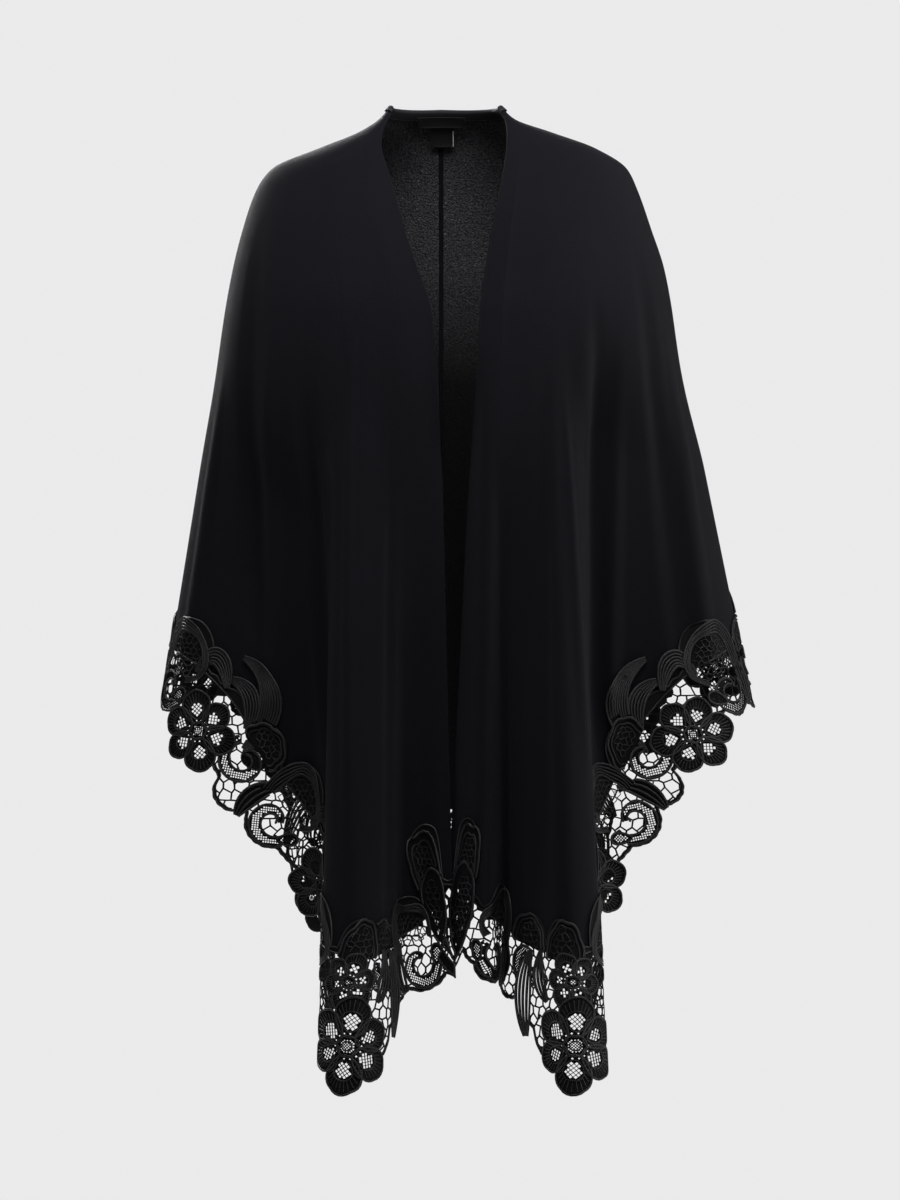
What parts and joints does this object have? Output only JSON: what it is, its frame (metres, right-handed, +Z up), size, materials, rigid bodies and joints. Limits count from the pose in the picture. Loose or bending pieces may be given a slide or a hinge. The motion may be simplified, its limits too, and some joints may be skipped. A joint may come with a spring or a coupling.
{
  "type": "knit cape",
  "caption": "Open-front knit cape of two long draped panels with a seam down the back, a bound back neck and a wide cutwork lace border round its hem and sides.",
  "frame": {"origin": "midway between the two neck points, on the line over the shoulders that holds the cape up", "axes": "+Z up, the open front faces -Y, +X toward the wearer's left side, which is the viewer's right"},
  "size_m": [0.5931, 0.3807, 0.9681],
  "materials": {
    "knit": "matte black fine wool knit",
    "lace": "black satin thread cutwork",
    "band": "smooth black tape",
    "label": "bare black woven cloth"
  },
  "bodies": {
    "root": {"left_panel": "knit", "right_panel": "knit", "lace_left_front": "lace", "lace_left_side": "lace", "lace_left_back": "lace", "lace_right_front": "lace", "lace_right_side": "lace", "lace_right_back": "lace", "neck_band": "band", "main_label": "label", "care_label": "label"}
  },
  "joints": []
}
